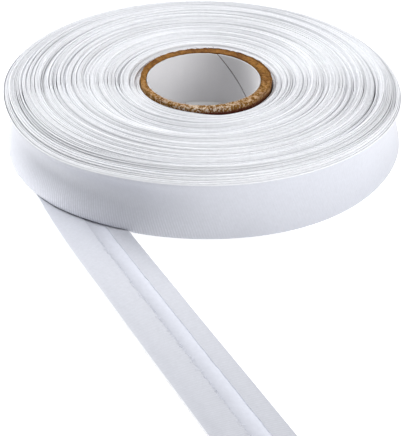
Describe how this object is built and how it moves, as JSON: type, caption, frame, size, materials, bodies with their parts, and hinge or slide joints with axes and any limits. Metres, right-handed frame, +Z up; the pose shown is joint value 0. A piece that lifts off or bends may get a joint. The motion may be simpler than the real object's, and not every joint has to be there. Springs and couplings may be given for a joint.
{
  "type": "roll of bias tape",
  "caption": "Flat roll of folded single-fold bias tape wound on a board tube, with its loose end drawn out across the table.",
  "frame": {"origin": "on the table under the middle of the whole part, loose end included", "axes": "+Z up along the roll's own axis; the loose end runs towards -Y and a little +X"},
  "size_m": [0.1408, 0.2472, 0.0206],
  "materials": {
    "wound_tape": "white satin-faced cotton tape, wound edge up",
    "loose_tape": "white cotton tape seen on its matt folded side",
    "kraft_board": "brown kraft board with a rough cut edge",
    "liner_paper": "smooth white paper ply"
  },
  "bodies": {
    "root": {"wound_tape": "wound_tape", "loose_end": "loose_tape", "core_board": "kraft_board", "core_liner": "liner_paper"}
  },
  "joints": []
}
